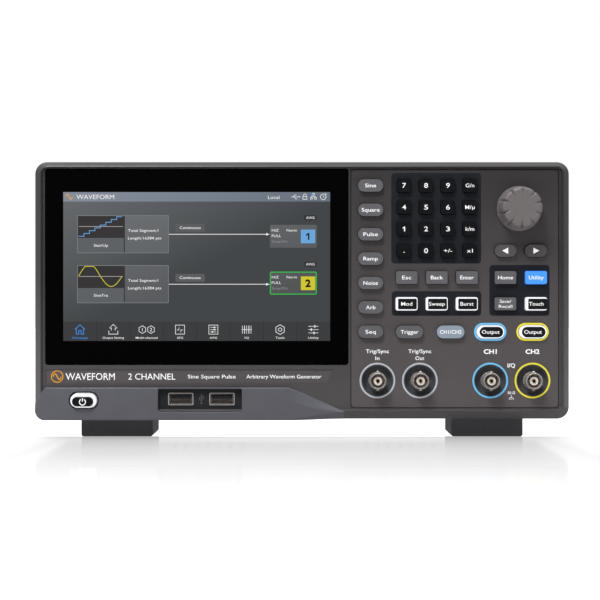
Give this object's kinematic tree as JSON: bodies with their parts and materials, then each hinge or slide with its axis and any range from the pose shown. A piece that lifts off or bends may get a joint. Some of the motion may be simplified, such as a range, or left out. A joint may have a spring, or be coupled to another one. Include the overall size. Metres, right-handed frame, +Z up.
{
  "type": "function generator",
  "caption": "Benchtop two-channel function generator: touch display, keypad, tuning knob, coaxial jacks, folding carry handle and tilt legs.",
  "frame": {"origin": "on the bench under the middle of the instrument's box", "axes": "+X to the right of someone facing the front, +Y to the back, +Z up"},
  "size_m": [0.312, 0.133, 0.161],
  "materials": {
    "bezel_plastic": "fine matt texture",
    "inlay_film": "satin printed film",
    "screen_glass": "polished, black-backed",
    "module_metal": "brushed",
    "circuit_board": "solder mask",
    "jack_metal": "nickel plated",
    "jack_plastic": "fluoropolymer",
    "socket_metal": "nickel plated",
    "black_plastic": "moulded",
    "case_paint": "fine textured powder coat",
    "foot_plastic": "matt",
    "screw_steel": "black zinc",
    "knob_plastic": "soft-touch",
    "handle_plastic": "moulded",
    "lit_key": "translucent, backlit",
    "key_plastic": "satin",
    "digit_key": "satin",
    "channel_key": "satin",
    "utility_key": "satin, backlit"
  },
  "bodies": {
    "chassis": {"front_bezel": "bezel_plastic", "control_inlay": "inlay_film", "touch_glass": "screen_glass", "display_module": "module_metal", "front_boards": "circuit_board", "main_board": "circuit_board", "power_supply": "circuit_board", "bnc_jacks": "jack_metal", "jack_insulators": "jack_plastic", "data_sockets": "socket_metal", "power_inlet": "black_plastic", "fan_frame": "black_plastic", "rear_case": "case_paint", "feet": "foot_plastic", "screws": "screw_steel"},
    "fan_rotor": {"fan_rotor": "black_plastic"},
    "tuning_knob": {"tuning_knob": "knob_plastic"},
    "carry_handle": {"carry_handle": "handle_plastic"},
    "tilt_leg_left": {"tilt_leg_left": "foot_plastic"},
    "tilt_leg_right": {"tilt_leg_right": "foot_plastic"},
    "power_key": {"power_key": "lit_key"},
    "sine_key": {"sine_key": "key_plastic"},
    "square_key": {"square_key": "key_plastic"},
    "pulse_key": {"pulse_key": "key_plastic"},
    "ramp_key": {"ramp_key": "key_plastic"},
    "noise_key": {"noise_key": "key_plastic"},
    "arb_key": {"arb_key": "key_plastic"},
    "seq_key": {"seq_key": "key_plastic"},
    "digit_7_key": {"digit_7_key": "digit_key"},
    "digit_8_key": {"digit_8_key": "digit_key"},
    "digit_9_key": {"digit_9_key": "digit_key"},
    "giga_nano_key": {"giga_nano_key": "digit_key"},
    "digit_4_key": {"digit_4_key": "digit_key"},
    "digit_5_key": {"digit_5_key": "digit_key"},
    "digit_6_key": {"digit_6_key": "digit_key"},
    "mega_micro_key": {"mega_micro_key": "digit_key"},
    "digit_1_key": {"digit_1_key": "digit_key"},
    "digit_2_key": {"digit_2_key": "digit_key"},
    "digit_3_key": {"digit_3_key": "digit_key"},
    "kilo_milli_key": {"kilo_milli_key": "digit_key"},
    "point_key": {"point_key": "digit_key"},
    "digit_0_key": {"digit_0_key": "digit_key"},
    "sign_key": {"sign_key": "digit_key"},
    "unit_key": {"unit_key": "digit_key"},
    "esc_key": {"esc_key": "key_plastic"},
    "back_key": {"back_key": "key_plastic"},
    "enter_key": {"enter_key": "key_plastic"},
    "mod_key": {"mod_key": "lit_key"},
    "sweep_key": {"sweep_key": "lit_key"},
    "burst_key": {"burst_key": "lit_key"},
    "home_key": {"home_key": "key_plastic"},
    "utility_key": {"utility_key": "utility_key"},
    "save_recall_key": {"save_recall_key": "key_plastic"},
    "touch_key": {"touch_key": "lit_key"},
    "left_key": {"left_key": "key_plastic"},
    "right_key": {"right_key": "key_plastic"},
    "trigger_key": {"trigger_key": "key_plastic"},
    "channel_key": {"channel_key": "channel_key"},
    "output_1_key": {"output_1_key": "lit_key"},
    "output_2_key": {"output_2_key": "lit_key"}
  },
  "joints": [
    {"name": "knob_turn", "type": "hinge", "parent": "chassis", "child": "tuning_knob", "pos_m": [0.1253, -0.0505, 0.1332], "axis": [0, 1, 0], "continuous": true},
    {"name": "handle_fold", "type": "hinge", "parent": "chassis", "child": "carry_handle", "pos_m": [0, 0.024, 0.1562], "axis": [-1, 0, 0], "range_deg": [0, 90]},
    {"name": "left_leg_fold", "type": "hinge", "parent": "chassis", "child": "tilt_leg_left", "pos_m": [-0.109, -0.0243, 0.0054], "axis": [-1, 0, 0], "range_deg": [0, 100]},
    {"name": "right_leg_fold", "type": "hinge", "parent": "chassis", "child": "tilt_leg_right", "pos_m": [0.109, -0.0243, 0.0054], "axis": [-1, 0, 0], "range_deg": [0, 100]},
    {"name": "fan_spin", "type": "hinge", "parent": "chassis", "child": "fan_rotor", "pos_m": [0.094, 0.049, 0.095], "axis": [0, 1, 0], "continuous": true},
    {"name": "power_press", "type": "slide", "parent": "chassis", "child": "power_key", "axis": [0, 1, 0], "range_m": [0, 0.0012], "stiffness_N_per_m": 400},
    {"name": "sine_press", "type": "slide", "parent": "chassis", "child": "sine_key", "axis": [0, 1, 0], "range_m": [0, 0.0012], "stiffness_N_per_m": 400},
    {"name": "square_press", "type": "slide", "parent": "chassis", "child": "square_key", "axis": [0, 1, 0], "range_m": [0, 0.0012], "stiffness_N_per_m": 400},
    {"name": "pulse_press", "type": "slide", "parent": "chassis", "child": "pulse_key", "axis": [0, 1, 0], "range_m": [0, 0.0012], "stiffness_N_per_m": 400},
    {"name": "ramp_press", "type": "slide", "parent": "chassis", "child": "ramp_key", "axis": [0, 1, 0], "range_m": [0, 0.0012], "stiffness_N_per_m": 400},
    {"name": "noise_press", "type": "slide", "parent": "chassis", "child": "noise_key", "axis": [0, 1, 0], "range_m": [0, 0.0012], "stiffness_N_per_m": 400},
    {"name": "arb_press", "type": "slide", "parent": "chassis", "child": "arb_key", "axis": [0, 1, 0], "range_m": [0, 0.0012], "stiffness_N_per_m": 400},
    {"name": "seq_press", "type": "slide", "parent": "chassis", "child": "seq_key", "axis": [0, 1, 0], "range_m": [0, 0.0012], "stiffness_N_per_m": 400},
    {"name": "digit_7_press", "type": "slide", "parent": "chassis", "child": "digit_7_key", "axis": [0, 1, 0], "range_m": [0, 0.0012], "stiffness_N_per_m": 400},
    {"name": "digit_8_press", "type": "slide", "parent": "chassis", "child": "digit_8_key", "axis": [0, 1, 0], "range_m": [0, 0.0012], "stiffness_N_per_m": 400},
    {"name": "digit_9_press", "type": "slide", "parent": "chassis", "child": "digit_9_key", "axis": [0, 1, 0], "range_m": [0, 0.0012], "stiffness_N_per_m": 400},
    {"name": "giga_nano_press", "type": "slide", "parent": "chassis", "child": "giga_nano_key", "axis": [0, 1, 0], "range_m": [0, 0.0012], "stiffness_N_per_m": 400},
    {"name": "digit_4_press", "type": "slide", "parent": "chassis", "child": "digit_4_key", "axis": [0, 1, 0], "range_m": [0, 0.0012], "stiffness_N_per_m": 400},
    {"name": "digit_5_press", "type": "slide", "parent": "chassis", "child": "digit_5_key", "axis": [0, 1, 0], "range_m": [0, 0.0012], "stiffness_N_per_m": 400},
    {"name": "digit_6_press", "type": "slide", "parent": "chassis", "child": "digit_6_key", "axis": [0, 1, 0], "range_m": [0, 0.0012], "stiffness_N_per_m": 400},
    {"name": "mega_micro_press", "type": "slide", "parent": "chassis", "child": "mega_micro_key", "axis": [0, 1, 0], "range_m": [0, 0.0012], "stiffness_N_per_m": 400},
    {"name": "digit_1_press", "type": "slide", "parent": "chassis", "child": "digit_1_key", "axis": [0, 1, 0], "range_m": [0, 0.0012], "stiffness_N_per_m": 400},
    {"name": "digit_2_press", "type": "slide", "parent": "chassis", "child": "digit_2_key", "axis": [0, 1, 0], "range_m": [0, 0.0012], "stiffness_N_per_m": 400},
    {"name": "digit_3_press", "type": "slide", "parent": "chassis", "child": "digit_3_key", "axis": [0, 1, 0], "range_m": [0, 0.0012], "stiffness_N_per_m": 400},
    {"name": "kilo_milli_press", "type": "slide", "parent": "chassis", "child": "kilo_milli_key", "axis": [0, 1, 0], "range_m": [0, 0.0012], "stiffness_N_per_m": 400},
    {"name": "point_press", "type": "slide", "parent": "chassis", "child": "point_key", "axis": [0, 1, 0], "range_m": [0, 0.0012], "stiffness_N_per_m": 400},
    {"name": "digit_0_press", "type": "slide", "parent": "chassis", "child": "digit_0_key", "axis": [0, 1, 0], "range_m": [0, 0.0012], "stiffness_N_per_m": 400},
    {"name": "sign_press", "type": "slide", "parent": "chassis", "child": "sign_key", "axis": [0, 1, 0], "range_m": [0, 0.0012], "stiffness_N_per_m": 400},
    {"name": "unit_press", "type": "slide", "parent": "chassis", "child": "unit_key", "axis": [0, 1, 0], "range_m": [0, 0.0012], "stiffness_N_per_m": 400},
    {"name": "esc_press", "type": "slide", "parent": "chassis", "child": "esc_key", "axis": [0, 1, 0], "range_m": [0, 0.0012], "stiffness_N_per_m": 400},
    {"name": "back_press", "type": "slide", "parent": "chassis", "child": "back_key", "axis": [0, 1, 0], "range_m": [0, 0.0012], "stiffness_N_per_m": 400},
    {"name": "enter_press", "type": "slide", "parent": "chassis", "child": "enter_key", "axis": [0, 1, 0], "range_m": [0, 0.0012], "stiffness_N_per_m": 400},
    {"name": "mod_press", "type": "slide", "parent": "chassis", "child": "mod_key", "axis": [0, 1, 0], "range_m": [0, 0.0012], "stiffness_N_per_m": 400},
    {"name": "sweep_press", "type": "slide", "parent": "chassis", "child": "sweep_key", "axis": [0, 1, 0], "range_m": [0, 0.0012], "stiffness_N_per_m": 400},
    {"name": "burst_press", "type": "slide", "parent": "chassis", "child": "burst_key", "axis": [0, 1, 0], "range_m": [0, 0.0012], "stiffness_N_per_m": 400},
    {"name": "home_press", "type": "slide", "parent": "chassis", "child": "home_key", "axis": [0, 1, 0], "range_m": [0, 0.0012], "stiffness_N_per_m": 400},
    {"name": "utility_press", "type": "slide", "parent": "chassis", "child": "utility_key", "axis": [0, 1, 0], "range_m": [0, 0.0012], "stiffness_N_per_m": 400},
    {"name": "save_recall_press", "type": "slide", "parent": "chassis", "child": "save_recall_key", "axis": [0, 1, 0], "range_m": [0, 0.0012], "stiffness_N_per_m": 400},
    {"name": "touch_press", "type": "slide", "parent": "chassis", "child": "touch_key", "axis": [0, 1, 0], "range_m": [0, 0.0012], "stiffness_N_per_m": 400},
    {"name": "left_press", "type": "slide", "parent": "chassis", "child": "left_key", "axis": [0, 1, 0], "range_m": [0, 0.0012], "stiffness_N_per_m": 400},
    {"name": "right_press", "type": "slide", "parent": "chassis", "child": "right_key", "axis": [0, 1, 0], "range_m": [0, 0.0012], "stiffness_N_per_m": 400},
    {"name": "trigger_press", "type": "slide", "parent": "chassis", "child": "trigger_key", "axis": [0, 1, 0], "range_m": [0, 0.0012], "stiffness_N_per_m": 400},
    {"name": "channel_press", "type": "slide", "parent": "chassis", "child": "channel_key", "axis": [0, 1, 0], "range_m": [0, 0.0012], "stiffness_N_per_m": 400},
    {"name": "output_1_press", "type": "slide", "parent": "chassis", "child": "output_1_key", "axis": [0, 1, 0], "range_m": [0, 0.0012], "stiffness_N_per_m": 400},
    {"name": "output_2_press", "type": "slide", "parent": "chassis", "child": "output_2_key", "axis": [0, 1, 0], "range_m": [0, 0.0012], "stiffness_N_per_m": 400}
  ]
}
